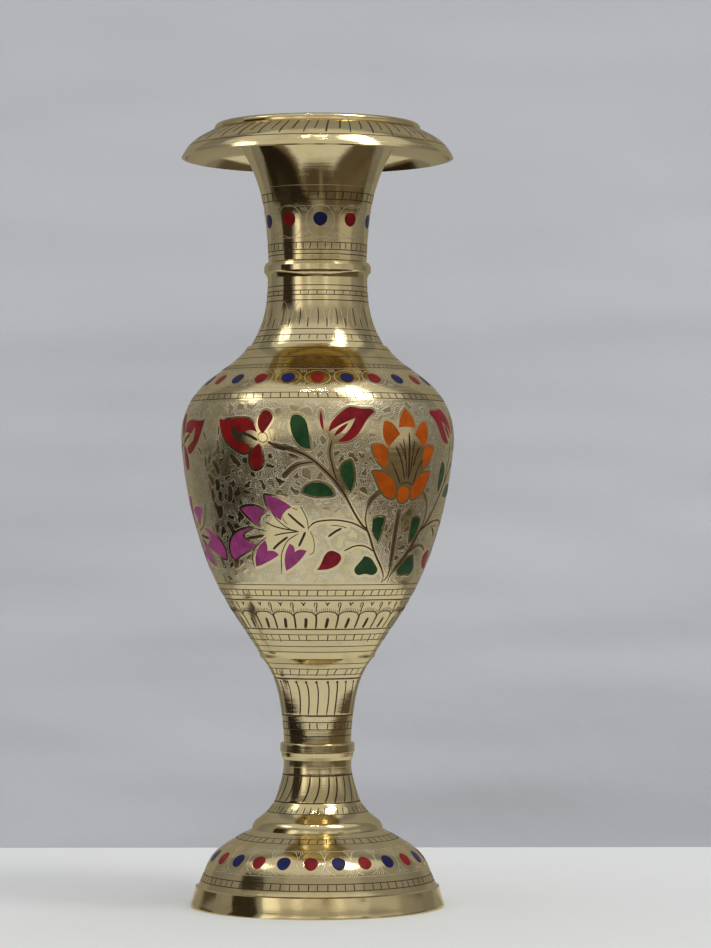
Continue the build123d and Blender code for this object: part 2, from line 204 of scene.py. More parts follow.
def matted_brass(name):
    """Polished brass whose ground between the motifs is cut into small pebbles and hatched channels."""
    graph = Graph(name)
    colour, rough, normal = polished(graph)
    margin = graph.attribute("margin")
    field = graph.attribute("field")
    ground = graph.math("MULTIPLY", graph.step(margin, 1.10, 1.25), field)
    outline = graph.math("MULTIPLY", graph.step(margin, 0.88, 1.0), graph.step(margin, 1.22, 1.12))
    outline = graph.math("MULTIPLY", outline, field)

    drift = graph.node("ShaderNodeTexNoise")
    graph.put(drift.inputs["Vector"], graph.place)
    drift.inputs["Scale"].default_value = 230
    shift = graph.node("ShaderNodeVectorMath", operation="MULTIPLY_ADD")
    graph.put(shift.inputs[0], drift.outputs["Color"])
    shift.inputs[1].default_value = (0.0036, 0.0036, 0.0036)
    graph.put(shift.inputs[2], graph.place)
    cells = graph.node("ShaderNodeTexVoronoi", feature="DISTANCE_TO_EDGE")
    graph.put(cells.inputs["Vector"], shift.outputs[0])
    cells.inputs["Scale"].default_value = 225
    owner = graph.node("ShaderNodeTexVoronoi", feature="F1")
    graph.put(owner.inputs["Vector"], shift.outputs[0])
    owner.inputs["Scale"].default_value = 225
    pick = graph.node("ShaderNodeSeparateColor")
    graph.put(pick.inputs[0], owner.outputs["Color"])
    edge = cells.outputs["Distance"]
    pebble = graph.step(edge, 0.13, 0.19)
    rim = graph.math("MULTIPLY", graph.step(edge, 0.10, 0.14), graph.step(edge, 0.20, 0.16))

    flat = graph.node("ShaderNodeUVMap", uv_map="wall")
    turn = graph.node("ShaderNodeVectorRotate", rotation_type="Z_AXIS")
    graph.put(turn.inputs["Vector"], flat.outputs[0])
    graph.put(turn.inputs["Angle"], graph.math("MULTIPLY", pick.outputs[0], 3.1416))
    hatch = graph.node("ShaderNodeTexWave", wave_type="BANDS", bands_direction="X")
    graph.put(hatch.inputs["Vector"], turn.outputs[0])
    hatch.inputs["Scale"].default_value = 0.46
    hatch.inputs["Distortion"].default_value = 0.8
    hatch.inputs["Detail"].default_value = 1.0
    lines = graph.step(hatch.outputs["Fac"], 0.62, 0.90)
    stipple = graph.math("MULTIPLY", lines, graph.math("SUBTRACT", 1.0, pebble))
    some = graph.step(pick.outputs[1], 0.80, 0.84)
    stipple = graph.math("MAXIMUM", stipple, graph.math("MULTIPLY", graph.math("MULTIPLY", lines, some), 0.75))

    patchy = graph.step(graph.noise(160, 2.0, 0.5), 0.36, 0.54, 0.25, 0.9)
    cut = graph.math("MULTIPLY", graph.math("MAXIMUM", stipple, rim), patchy)
    cut = graph.math("MAXIMUM", graph.math("MULTIPLY", cut, ground), graph.math("MULTIPLY", outline, 0.85))
    floor = graph.math("MULTIPLY", graph.math("SUBTRACT", 1.0, pebble), ground)
    shade = graph.math("MULTIPLY", graph.math("MULTIPLY", pick.outputs[2], pebble), ground)
    colour = graph.mix(graph.math("MULTIPLY", shade, 0.45), colour, (0.42, 0.33, 0.17, 1))
    # the channels between the pebbles are darker in colour
    channel_tone = graph.mix(graph.noise(420, 2.0), (0.42, 0.33, 0.17, 1), (0.62, 0.53, 0.33, 1))
    colour = graph.mix(graph.math("MULTIPLY", floor, 0.5), colour, channel_tone)
    # cuts and outlines take the lighter cut colour: fresh metal, and painted sheen
    colour = graph.mix(cut, colour, BRASS_CUT_AND_SHEEN)
    rough = graph.blend(floor, rough, 0.24)
    rough = graph.blend(cut, rough, 0.50)
    height = graph.step(edge, 0.10, 0.30)
    height = graph.math("SUBTRACT", height, graph.math("MULTIPLY", stipple, 0.35))
    height = graph.blend(ground, 1.0, height)
    height = graph.math("SUBTRACT", height, graph.math("MULTIPLY", outline, 0.7))
    normal = graph.bump(height, 0.35, 0.00010, normal)
    graph.set(Base_Color=colour, Roughness=rough, Normal=normal, Metallic=1.0, Specular_Tint=EDGE_TINT)
    return graph.material


def cut_brass(name):
    """The bright burr along a fresh cut: fresh metal, whose lighter, whiter colour is also painted sheen."""
    graph = Graph(name)
    colour = graph.mix(graph.noise(600, 3.0), BRASS_WORN, BRASS_CUT_AND_SHEEN)
    rough = graph.math("ADD", 0.34, graph.math("MULTIPLY", graph.noise(900, 2.0), 0.25))
    normal = graph.bump(graph.noise(2400, 2.0), 0.4, 0.00005)
    graph.set(Base_Color=colour, Roughness=rough, Normal=normal, Metallic=1.0)
    return graph.material


def lac(name):
    """Brown-black lac rubbed into the lines, worn thin here and there."""
    graph = Graph(name)
    worn = graph.step(graph.noise(300, 4.0, 0.6), 0.55, 0.75)
    colour = graph.mix(worn, (0.040, 0.014, 0.005, 1), (0.170, 0.078, 0.030, 1))
    rough = graph.math("ADD", 0.38, graph.math("MULTIPLY", graph.noise(700, 3.0), 0.3))
    normal = graph.bump(graph.noise(1800, 3.0), 0.5, 0.00006)
    graph.set(Base_Color=colour, Roughness=rough, Normal=normal, Specular_IOR_Level=0.35)
    return graph.material


def enamel(name, light, dark):
    """Hot-set coloured lac rubbed flush: slightly mottled, glossy where polished, with tiny pits."""
    graph = Graph(name)
    mottle = graph.noise(190, 4.0, 0.6)
    grain = graph.noise(1500, 3.0, 0.6)
    colour = graph.mix(graph.step(mottle, 0.36, 0.66), dark, light)
    pits = graph.step(graph.noise(1100, 2.0), 0.70, 0.78)
    colour = graph.mix(graph.math("MULTIPLY", pits, 0.6), colour, (0.03, 0.02, 0.015, 1))
    rough = graph.math("ADD", 0.30, graph.math("MULTIPLY", grain, 0.22))
    waves = graph.bump(mottle, 0.30, 0.0004)
    normal = graph.bump(graph.math("SUBTRACT", grain, pits), 0.22, 0.00006, waves)
    graph.set(Base_Color=colour, Roughness=rough, Normal=normal, Specular_IOR_Level=0.16, Coat_Weight=0.03,
              Coat_Roughness=0.18)
    return graph.material


BRASS_BODY = brass("brass_polished")
BRASS_MATTED = matted_brass("brass_matted")
BRASS_BRIGHT = cut_brass("brass_bright_cut")
LAC = lac("lac_black")
ENAMELS = {
    "enamel_red": enamel("enamel_red", (0.30, 0.008, 0.008, 1), (0.17, 0.004, 0.006, 1)),
    "enamel_crimson": enamel("enamel_crimson", (0.31, 0.008, 0.020, 1), (0.18, 0.004, 0.012, 1)),
    "enamel_blue": enamel("enamel_blue", (0.012, 0.016, 0.130, 1), (0.007, 0.008, 0.060, 1)),
    "enamel_orange": enamel("enamel_orange", (0.58, 0.110, 0.003, 1), (0.44, 0.078, 0.003, 1)),
    "enamel_magenta": enamel("enamel_magenta", (0.42, 0.065, 0.26, 1), (0.28, 0.040, 0.17, 1)),
    "enamel_green": enamel("enamel_green", (0.022, 0.085, 0.024, 1), (0.010, 0.045, 0.014, 1)),
}


# ---------------------------------------------------------------- walls read from the CAD pieces
class Wall:
    """The outer line of a turned piece, as radius against height in millimetres, read from its CAD node."""

    def __init__(self, node, low, high, step=0.4):
        mesh = nodes[node].data
        points = [v.co for v in mesh.vertices]
        self.tree = BVHTree.FromPolygons(points, [tuple(p.vertices) for p in mesh.polygons])
        self.low, self.high = low, high
        count = max(2, int(round((high - low) / step)) + 1)
        self.heights = np.linspace(low, high, count)
        self.radii = np.array([self.cast(z) for z in self.heights])

    def cast(self, z, inward=True):
        """Largest radius met at a height, looking in from outside or out from the axis."""
        found = []
        for i in range(14):
            turn = (i + 0.37) / 14 * math.tau
            out = Vector((math.sin(turn), -math.cos(turn), 0))
            start = out * 0.08 if inward else Vector((0, 0, 0))
            start.z = z * MM
            hit = self.tree.ray_cast(start, -out if inward else out)[0]
            if hit is not None:
                found.append(math.hypot(hit.x, hit.y) / MM)
        return max(found)

    def radius(self, z):
        return float(np.interp(z, self.heights, self.radii))

    def slope(self, z):
        """Unit tangent of the line, as (radius, height) components."""
        low, high = max(self.low, z - 0.3), min(self.high, z + 0.3)
        dr, dz = self.radius(high) - self.radius(low), high - low
        length = math.hypot(dr, dz)
        return dr / length, dz / length

    def point(self, azimuth, z, lift=0.0):
        """A place on the wall, in metres, and its outward normal."""
        dr, dz = self.slope(z)
        turn = math.radians(azimuth)
        out = Vector((math.sin(turn), -math.cos(turn), 0))
        normal = out * dz - Vector((0, 0, dr))
        return (out * self.radius(z) + Vector((0, 0, z)) + normal * lift) * MM, normal

    def along(self, azimuth, z, across, up):
        """Azimuth and height of a place so many millimetres across and up the wall from another."""
        height = z + up * self.slope(z)[1]
        return azimuth + math.degrees(across / self.radius(height)), height


def spread(low, high, step):
    count = max(1, int(math.ceil((high - low) / step)))
    return [low + (high - low) * i / count for i in range(count + 1)]


def enamel_solids(names):
    """One search tree of several CAD enamel nodes."""
    points, faces = [], []
    for name in names:
        start = len(points)
        points += [v.co.copy() for v in nodes[name].data.vertices]
        faces += [tuple(start + v for v in p.vertices) for p in nodes[name].data.polygons]
    return BVHTree.FromPolygons(points, faces)


def bed_enamel(co, rows, wall, solids, depth=0.28):
    """Sinks the wall under the enamels, away from their edges, as the pocket they lie in."""
    under = np.zeros((rows, co.shape[1]), bool)
    normals = np.zeros((rows, co.shape[1], 3))
    for i in range(rows):
        dr, dz = wall.slope(co[i, 0, 2] / MM)
        out = co[i] / np.hypot(co[i, :, 0], co[i, :, 1])[:, None]
        normals[i] = np.stack([out[:, 0] * dz, out[:, 1] * dz, np.full(len(out), -dr)], axis=1)
        for k in range(co.shape[1]):
            normal = Vector(normals[i, k])
            under[i, k] = solids.ray_cast(Vector(co[i, k]) + normal * MM, -normal, 1.1 * MM)[0] is not None
    inner = under.copy()
    inner[1:] &= under[:-1]
    inner[:-1] &= under[1:]
    inner &= np.roll(inner, 1, axis=1) & np.roll(inner, -1, axis=1)
    co[:rows][inner] -= normals[inner] * depth * MM


def turned(name, node, body, wall, outer, inner, around, grooves=(), enamels=(), material=None):
    """A turned piece: the CAD node's own section with engraved ring lines, closed inside and revolved.

    grooves holds (height, width, depth, filled): a filled ring is lac, the others are bright cuts.
    """
    rows = []
    cuts = sorted(grooves)
    spans = [(z - w / 2 * wall.slope(z)[1], z + w / 2 * wall.slope(z)[1]) for z, w, d, f in cuts]
    for z in outer:
        if all(z < low - 0.08 or z > high + 0.08 for low, high in spans):
            rows.append((z, 0.0, 0))
    for (z, w, d, filled), (low, high) in zip(cuts, spans):
        mark = 1 if filled else 2
        rows += [(low, 0.0, mark), (low + (high - low) * 0.25, d, mark), (high - (high - low) * 0.25, d, mark),
                 (high, 0.0, 0)]
    rows.sort()
    section, marks = [], []
    for z, depth, mark in rows:
        dr, dz = wall.slope(z)
        section.append((wall.cast(z) - depth * dz, z + depth * dr))
        marks.append(mark)
    marks[-1] = 0
    for z in inner:
        section.append((wall.cast(z, inward=False), z))
        marks.append(0)
    count = len(section)
    turns = [math.tau * i / around for i in range(around)]
    radii = np.array([r for r, z in section]) * MM
    heights = np.array([z for r, z in section]) * MM
    sines, cosines = np.sin(turns), -np.cos(turns)
    co = np.zeros((count, around, 3))
    co[:, :, 0] = radii[:, None] * sines[None, :]
    co[:, :, 1] = radii[:, None] * cosines[None, :]
    co[:, :, 2] = heights[:, None]
    if enamels:
        bed_enamel(co, len(rows), wall, enamel_solids(enamels))
    faces, slots = [], []
    for i in range(count):
        j = (i + 1) % count
        for k in range(around):
            n = (k + 1) % around
            faces.append((i * around + k, i * around + n, j * around + n, j * around + k))
            slots.append(marks[i])
    made = add_mesh(name, co.reshape(-1, 3).tolist(), faces, material or BRASS_BODY, LAC, BRASS_BRIGHT)
    made.data.polygons.foreach_set("material_index", slots)
    made.data.shade_smooth()
    made.data.set_sharp_from_angle(angle=math.radians(24))
    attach(made, body)
    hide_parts(node)
    return made


# ---------------------------------------------------------------- engraved strokes
class Strokes:
    """Many engraved strokes gathered into one mesh: each is a thin closed sliver bedded in the wall."""

    def __init__(self):
        self.points, self.faces = [], []

    def sliver(self, path, width, tip=0.35, lift=0.035, bed=0.12):
        """path holds (place, normal); the stroke swells to width and thins to tip times it at its ends."""
        start, last = len(self.points), len(path) - 1
        for i, (place, normal) in enumerate(path):
            ahead = path[min(i + 1, last)][0] - path[max(i - 1, 0)][0]
            side = normal.cross(ahead).normalized()
            share = i / last
            swell = tip + (1 - tip) * min(1.0, 2.6 * math.sin(math.pi * share) ** 0.8)
            half = side * width * swell / 2 * MM
            for offset, depth in ((half, lift), (-half, lift), (-half * 0.6, -bed), (half * 0.6, -bed)):
                self.points.append(place + offset + normal * depth * MM)
        for i in range(last):
            a, b = start + 4 * i, start + 4 * i + 4
            for k in range(4):
                n = (k + 1) % 4
                self.faces.append((a + k, b + k, b + n, a + n))
        end = start + 4 * last
        self.faces.append((start, start + 1, start + 2, start + 3))
        self.faces.append((end + 3, end + 2, end + 1, end))

    def run(self, wall, line, width, **shape):
        """A stroke through (azimuth, height) places, as a smooth curve on the wall."""
        path = [wall.point(a, z) for a, z in smooth(line, wall)]
        self.sliver(path, width, **shape)
        return path

    def build(self, name, body, material, slot):
        made = add_mesh(name, [tuple(p) for p in self.points], self.faces, material)
        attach(made, body)
        return made


def smooth(line, wall, step=0.55):
    """Places close together along a smooth curve through a few (azimuth, height) places."""
    if len(line) == 2:
        line = [line[0], tuple((a + b) / 2 for a, b in zip(*line)), line[1]]
    ends = [tuple(2 * a - b for a, b in zip(line[0], line[1]))]
    ends += list(line) + [tuple(2 * a - b for a, b in zip(line[-1], line[-2]))]
    made = []
    for p0, p1, p2, p3 in zip(ends, ends[1:], ends[2:], ends[3:]):
        reach = math.hypot(math.radians(p2[0] - p1[0]) * wall.radius(p1[1]), p2[1] - p1[1])
        count = max(2, int(reach / step))
        for i in range(count):
            t = i / count
            made.append(tuple(
                0.5 * (2 * b + (c - a) * t + (2 * a - 5 * b + 4 * c - d) * t * t
                       + (3 * b - a - 3 * c + d) * t ** 3)
                for a, b, c, d in zip(p0, p1, p2, p3)))
    made.append(line[-1])
    return made


def oval(wall, azimuth, z, across, up):
    """A closed oval round a place on the wall, from its half width and half height."""
    return [wall.along(azimuth, z, across * math.cos(k * math.tau / 16), up * math.sin(k * math.tau / 16))
            for k in range(17)]


def tick_row(strokes, wall, low, high, pitch, lean=0.0, uneven=0.10, over=0.0, width=0.40, start=0.0):
    """Short ruled strokes round the wall between two ring lines."""
    middle = (low + high) / 2
    count = int(round(math.tau * wall.radius(middle) / pitch))
    for i in range(count):
        azimuth = start + (i + hand.uniform(-uneven, uneven)) * 360 / count
        slant = math.degrees((lean + hand.gauss(0, 0.12)) / wall.radius(middle)) / 2
        bottom = low - over * max(0.0, hand.gauss(0.2, 0.5))
        top = high + 0.1 * hand.random()
        line = [(azimuth - slant, bottom), (azimuth + slant, top)]
        strokes.run(wall, line, width * hand.uniform(0.75, 1.15), tip=0.6)


# ---------------------------------------------------------------- the walls
foot_wall = Wall("foot", 0.05, 56.95)
body_wall = Wall("lower_body", 63.65, 119.15)
belly_wall = Wall("belly_shell", 119.25, 217.85)
lower_neck_wall = Wall("lower_neck", 217.95, 244.15)
trumpet_wall = Wall("trumpet", 250.95, 301.1)
brim_wall = Wall("brim", 291.7, 302.55, 0.15)

# ---------------------------------------------------------------- turned pieces with their ring lines
def inked(*heights, width=LINE):
    """Ring lines filled with lac."""
    return [(z, width, LINE_DEPTH, True) for z in heights]


def bright(*heights, width=FINE, depth=FINE_DEPTH):
    """Ring lines left as bright cuts."""
    return [(z, width, depth, False) for z in heights]


BELLY_ENAMELS = [part["node"] for part in frame["record"]["subparts"] if part["material_slot"] in ENAMELS
                 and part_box(part["node"])[0].z > 0.12 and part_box(part["node"])[1].z < 0.22]
turned(
    "foot_turned", "foot", "foot", foot_wall,
    [0.02] + spread(0.5, 7.78, 0.9) + spread(8.22, 29.85, 0.6) + spread(29.95, 33.75, 0.35)
    + spread(33.85, 56.98, 0.8),
    [56.98] + spread(48.6, 51.0, 0.8)[::-1] + spread(0.02, 48.4, 1.6)[::-1], 320,
    grooves=inked(10.3, 12.8, 26.6, 28.2, 36.9) + inked(40.9, 51.3, width=0.5)
    + bright(15.3, 24.3, 29.2, 54.4),
    enamels=["foot_dots_red", "foot_dots_blue"])
turned(
    "lower_body_turned", "lower_body", "vase_body", body_wall,
    [51.02, 57.0, 63.55] + spread(63.62, 96.3, 0.8) + [96.45, 96.75] + spread(96.85, 119.18, 0.8),
    spread(71.2, 119.1, 1.6)[::-1] + [70.9, 69.1, 68.9, 67.6, 65.4, 65.2, 51.02], 288,
    grooves=inked(66.6, 69.1, 71.9, 90.5, 92.8, 94.8, 101.7, 104.1, 106.3) + inked(99.5, width=0.36)
    + inked(74.5, 108.4, width=0.55) + inked(88.9, width=0.6))
belly = turned(
    "belly_turned", "belly_shell", "vase_body", belly_wall,
    spread(119.22, 217.88, 0.62),
    [217.0, 214.5] + spread(122.5, 213.4, 2.6)[::-1] + [119.6], 420,
    grooves=inked(121.4, 123.6, 125.6, 196.3, 198.4, 208.5, 209.8, 212.7, 216.3) + inked(119.7, width=0.5)
    + bright(200.3, 207.7),
    enamels=BELLY_ENAMELS, material=BRASS_MATTED)
turned(
    "lower_neck_turned", "lower_neck", "vase_body", lower_neck_wall,
    [214.0, 217.85] + spread(217.96, 244.18, 0.7),
    [244.18, 240.0] + spread(214.1, 237.0, 1.8)[::-1], 256,
    grooves=inked(221.6, 223.8, 237.2, 238.9, 240.9) + inked(219.0, 235.1, width=0.36))
turned(
    "trumpet_turned", "trumpet", "neck", trumpet_wall,
    [238.22, 244.0, 250.85] + spread(250.93, 285.0, 0.55) + spread(285.5, 298.0, 0.6)
    + spread(298.2, 301.1, 0.25) + [301.3, 302.55],
    [302.55] + spread(288.0, 302.2, 0.7)[::-1] + spread(262.5, 287.0, 1.6)[::-1] + [261.5, 238.22], 256,
    grooves=inked(253.0, 254.6, 273.8, 276.8) + inked(257.4, width=0.30) + bright(259.1, 271.3, 279.2),
    enamels=["neck_dots_red", "neck_dots_blue"])
turned(
    "brim_turned", "brim", "neck", brim_wall,
    spread(291.66, 302.1, 0.3) + [302.35, 302.57],
    [302.57, 301.9, 301.25] + spread(291.3, 301.0, 0.6)[::-1], 320,
    grooves=inked(295.6, width=0.40) + bright(293.3, width=0.22, depth=LINE_DEPTH))

# ---------------------------------------------------------------- CAD pieces kept, with their finish
for name in ("mouth_ring", "neck_collar", "stem_collar", "well_disc"):
    nodes[name].data.materials.clear()
    nodes[name].data.materials.append(BRASS_BODY)
for part in frame["record"]["subparts"]:
    if part["material_slot"] in ENAMELS:
        mesh = nodes[part["node"]].data
        mesh.materials.clear()
        mesh.materials.append(ENAMELS[part["material_slot"]])

# ---------------------------------------------------------------- the sprays of flowers on the belly
# Lines of one spray as (azimuth, height) of a place and then (across, up) in millimetres from it.
STEM_FOOT = (38.0, 126.0)
MAIN_STEM = [(-0.2, 0.4), (-0.2, 3.2), (-2.2, 6.7), (-5.3, 10.9), (-7.9, 15.0), (-11.7, 22.3), (-14.5, 24.9),
             (-18.7, 30.4), (-24.9, 40.0), (-31.3, 47.2), (-38.8, 53.6), (-47.8, 57.7)]
BUD_STEM = [(-7.3, 13.6), (-10.5, 15.5), (-13.3, 16.2), (-16.2, 15.8), (-19.6, 13.9)]
BLOSSOM_STEM = [(-11.7, 22.0), (-16.1, 24.7), (-20.0, 26.1), (-25.1, 26.9), (-30.3, 26.6), (-33.3, 25.6),
                (-34.9, 23.2)]
LOTUS_STEM = [(-0.2, 0.4), (2.0, 3.4), (1.7, 9.4), (1.2, 16.3), (0.8, 24.0), (0.9, 30.5)]
LOTUS_SIDE_STEM = [(-11.6, 22.2), (-13.3, 26.6), (-13.6, 31.0), (-12.8, 34.8), (-10.2, 38.0)]
TULIP_STEM = [(-26.7, 43.2), (-28.2, 47.0), (-29.3, 50.7), (-30.4, 55.1), (-29.9, 60.3)]
CURL_STEM = [(-36.0, 51.1), (-39.4, 50.7), (-42.4, 49.9), (-44.9, 47.8), (-46.8, 45.5)]
STEMS = [(MAIN_STEM, 0.78), (BUD_STEM, 0.55), (BLOSSOM_STEM, 0.58), (LOTUS_SIDE_STEM, 0.50),
         (TULIP_STEM, 0.60), (CURL_STEM, 0.55)]
STEM_SPINDLES = [([(-26.7, 19.9), (-24.5, 22.0), (-22.2, 23.4)], 0.9),
                 ([(-26.7, 24.7), (-23.5, 24.5), (-20.0, 23.5)], 0.3)]

LOTUS_HEART = (40.0, 172.0)
LOTUS_FAN = [([(0.7, 11.5), (1.3, 3.0), (1.9, -6.4)], 0.80), ([(-5.6, 6.3), (-2.7, 1.2), (0.0, -6.4)], 0.62),
             ([(-6.8, -0.1), (-4.3, -4.2), (-1.9, -8.4)], 0.55),
             ([(-4.0, 7.4), (-1.7, 4.3), (-0.4, 0.7)], 0.42),
             ([(-1.9, -8.4), (1.3, -7.6), (5.1, -8.7)], 0.40), ([(6.7, 6.2), (4.8, 2.4), (3.7, -1.8)], 0.62),
             ([(9.3, 1.7), (6.3, -2.7), (4.6, -8.1)], 0.60), ([(3.7, 8.4), (3.0, 3.0), (2.6, -5.0)], 0.55),
             ([(-2.2, 9.2), (-0.6, 3.0), (1.0, -5.8)], 0.45)]
BLOSSOM_HEART = (-9.0, 137.0)
BLOSSOM_LINES = [([(0.3, 18.0), (-2.0, 18.8)], 0.3), ([(1.3, 19.6), (3.6, 14.3), (4.0, 9.8)], 0.36),
                 ([(-3.6, 16.7), (-0.9, 14.0), (2.6, 10.8)], 0.85),
                 ([(-12.8, 13.2), (-8.0, 11.1), (0.4, 9.4)], 0.5),
                 ([(-9.5, 7.8), (-5.5, 8.7), (0.4, 9.4)], 0.5),
                 ([(-10.2, 2.2), (-7.5, 4.7), (-4.0, 7.3)], 0.9),
                 ([(0.4, 8.7), (-4.1, 5.8), (-6.4, 1.6), (-7.0, -1.1), (-7.3, -7.8)], 0.36),
                 ([(0.0, 3.4), (1.5, 6.4), (2.8, 9.3)], 0.95),
                 ([(4.5, 9.8), (5.8, 6.1), (5.6, 1.3), (3.7, 0.0)], 0.3),
                 ([(-11.4, 20.1), (-8.4, 14.8), (-3.9, 10.8), (0.4, 9.4)], 0.36),
                 ([(-27.2, 20.4), (-23.3, 14.8), (-19.2, 11.4), (-12.4, 9.5)], 0.42),
                 ([(-12.6, 7.1), (-16.8, 3.9), (-18.8, 1.5), (-19.4, -2.5), (-18.4, -5.2)], 0.42),
                 ([(-5.7, 15.3), (-5.3, 13.8), (-3.8, 12.2)], 0.3),
                 ([(-21.3, 6.6), (-17.7, 7.1), (-13.6, 7.9)], 1.1)]
NODE_PLACE = (-23.0, 181.5)
NODE_RING = [(-1.9, 0.1), (-1.2, 1.3), (0.6, 1.7), (1.9, 0.5), (1.9, -1.2), (0.6, -2.1), (-1.2, -1.5),
             (-1.9, 0.1)]
TREFOIL_WEDGE = ((-28.5, 181.5), [(-3.5, 1.6), (-0.2, 0.5), (3.2, -1.3)], 1.1)
NODE_DASH = ((-17.0, 178.5), [(-3.5, 1.2), (-0.9, 0.0), (3.1, -1.2)], 0.9)

# Plain polished shapes that lie between the enamels, as (across, up) round a place.
PLAIN_SHAPES = [
    (LOTUS_HEART, [(-8.0, -4.0), (-8.5, 3.0), (-5.5, 8.5), (-2.5, 10.5), (0.0, 13.6), (2.8, 10.5), (6.0, 8.5),
                   (8.8, 3.0), (8.2, -4.0), (5.0, -9.5), (0.3, -12.0), (-4.6, -9.5)]),
    (BLOSSOM_HEART, [(-3.6, 19.2), (1.3, 19.8), (3.9, 14.3), (4.2, 9.9), (6.2, 6.1), (5.8, 1.3), (3.6, -0.4),
                     (0.5, 2.0), (-3.0, 0.5), (-7.2, -2.0), (-10.5, 0.4), (-14.5, 1.0), (-13.0, 5.5),
                     (-15.5, 8.0), (-12.0, 11.0), (-9.5, 15.0), (-6.0, 14.0)]),
    ((-31.0, 181.0), [(-5.5, 3.2), (0.0, 2.2), (7.0, 3.2), (8.4, -1.0), (4.0, -3.2), (-1.0, -1.6)]),
    (NODE_PLACE, [(-2.4, 0.0), (-1.6, 1.8), (0.2, 2.3), (2.0, 1.6), (2.6, -0.4), (1.6, -2.4), (-0.8, -2.4)]),
    ((11.5, 184.5), [(-6.5, -0.5), (-1.0, 2.6), (4.0, 5.6), (1.6, -0.2), (-3.6, -5.2), (-5.8, -3.4)]),
]


def sprays():
    """The four mirrored and turned copies of the spray: a map of azimuth, and the hand."""
    for turn in (0.0, 180.0):
        yield lambda azimuth, turn=turn: azimuth + turn, 1
        yield lambda azimuth, turn=turn: 2 * LOTUS_AXIS - azimuth + turn, -1


belly_lac = Strokes()
stem_places = []


def motif(place, lines, copy, mirrored, wide_margin=False):
    for line, width in lines:
        azimuth = copy(place[0])
        run = [belly_wall.along(azimuth, place[1], mirrored * u, v) for u, v in line]
        path = belly_lac.run(belly_wall, run, width, tip=0.22)
        if wide_margin:
            stem_places.extend(p for p, n in path)


for copy, mirrored in sprays():
    motif(STEM_FOOT, STEMS, copy, mirrored, wide_margin=True)
    motif(STEM_FOOT, STEM_SPINDLES, copy, mirrored, wide_margin=True)
    motif(BLOSSOM_HEART, BLOSSOM_LINES, copy, mirrored)
    motif(NODE_PLACE, [(NODE_RING, 0.3)], copy, mirrored)
    motif(TREFOIL_WEDGE[0], [TREFOIL_WEDGE[1:]], copy, mirrored)
    motif(NODE_DASH[0], [NODE_DASH[1:]], copy, mirrored, wide_margin=True)
    if mirrored == 1:
        motif(STEM_FOOT, [(LOTUS_STEM, 0.58)], copy, mirrored, wide_margin=True)
        motif(LOTUS_HEART, LOTUS_FAN, copy, mirrored)
    gap = copy(-50.0)
    for i in range(9):
        place = (gap + mirrored * hand.uniform(0.5, 9.0), 134.0 + i * 6.2 + hand.uniform(-1.5, 1.5))
        tilt, size = hand.uniform(-0.6, 0.6), hand.uniform(1.2, 2.8)
        across, up = size * math.sin(tilt), size * math.cos(tilt)
        line = [(-across, -up), (0.4, 0.0), (across, up)]
        motif(place, [(line, 0.45)], lambda azimuth: azimuth, 1, wide_margin=True)

# ---------------------------------------------------------------- margins of the motifs, for the matted ground
enamel_tree = enamel_solids(BELLY_ENAMELS)
stem_tree = KDTree(len(stem_places))
for i, place in enumerate(stem_places):
    stem_tree.insert(place, i)
stem_tree.balance()


def polygon_distance(px, py, polygon):
    """Distance of points from a closed outline, negative inside it."""
    inside = np.zeros(len(px), bool)
    nearest = np.full(len(px), 1e9)
    for (ax, ay), (bx, by) in zip(polygon, polygon[1:] + polygon[:1]):
        dx, dy = bx - ax, by - ay
        t = np.clip(((px - ax) * dx + (py - ay) * dy) / (dx * dx + dy * dy), 0, 1)
        nearest = np.minimum(nearest, np.hypot(px - ax - t * dx, py - ay - t * dy))
        crossing = (ay > py) != (by > py)
        with np.errstate(divide="ignore", invalid="ignore"):
            at = ax + (py - ay) / (by - ay) * dx
        inside ^= crossing & (px < at)
    return np.where(inside, -nearest, nearest)


mesh = belly.data
co = np.zeros(len(mesh.vertices) * 3)
mesh.vertices.foreach_get("co", co)
co = co.reshape(-1, 3)
height = co[:, 2] / MM
radius = np.hypot(co[:, 0], co[:, 1]) / MM
outside = radius > np.interp(height, belly_wall.heights, belly_wall.radii) - 0.6
margin = np.full(len(co), MARGIN_REACH)
for i in np.nonzero(outside & (np.abs(height - FIELD_MIDDLE) < FIELD_HALF + MARGIN_REACH))[0]:
    place = Vector(co[i])
    to_enamel = enamel_tree.find_nearest(place)[3] / MM
    to_stem = stem_tree.find(place)[2] / MM - 0.25
    margin[i] = min(MARGIN_REACH, to_enamel, to_stem)
azimuths = np.degrees(np.arctan2(co[:, 0], -co[:, 1]))
for (azimuth, z), polygon in PLAIN_SHAPES:
    for copy, mirrored in sprays():
        away = (azimuths - copy(azimuth) + 180) % 360 - 180
        near = outside & (np.abs(away) < 40) & (np.abs(height - z) < 30)
        across = mirrored * np.radians(away[near]) * radius[near]
        up = (height[near] - z) / belly_wall.slope(z)[1]
        margin[near] = np.minimum(margin[near], polygon_distance(across, up, polygon) + 0.2)
field = np.clip((height - FIELD_BOTTOM) / 0.5, 0, 1) * np.clip((FIELD_TOP - height) / 0.5, 0, 1)
for label, values in (("margin", margin), ("field", field)):
    mesh.attributes.new(label, "FLOAT", "POINT").data.foreach_set("value", values.astype(np.float32))
uv = mesh.uv_layers.new(name="wall")
loops = np.zeros(len(mesh.loops), np.int32)
mesh.loops.foreach_get("vertex_index", loops)
turns = azimuths[loops].reshape(-1, 4)
turns = np.where((turns < -90) & (turns.max(axis=1, keepdims=True) > 90), turns + 360, turns)
flat = np.stack([np.radians(turns).reshape(-1) * UNROLLED_RADIUS, height[loops]], axis=1)
uv.data.foreach_set("uv", flat.reshape(-1).astype(np.float32))

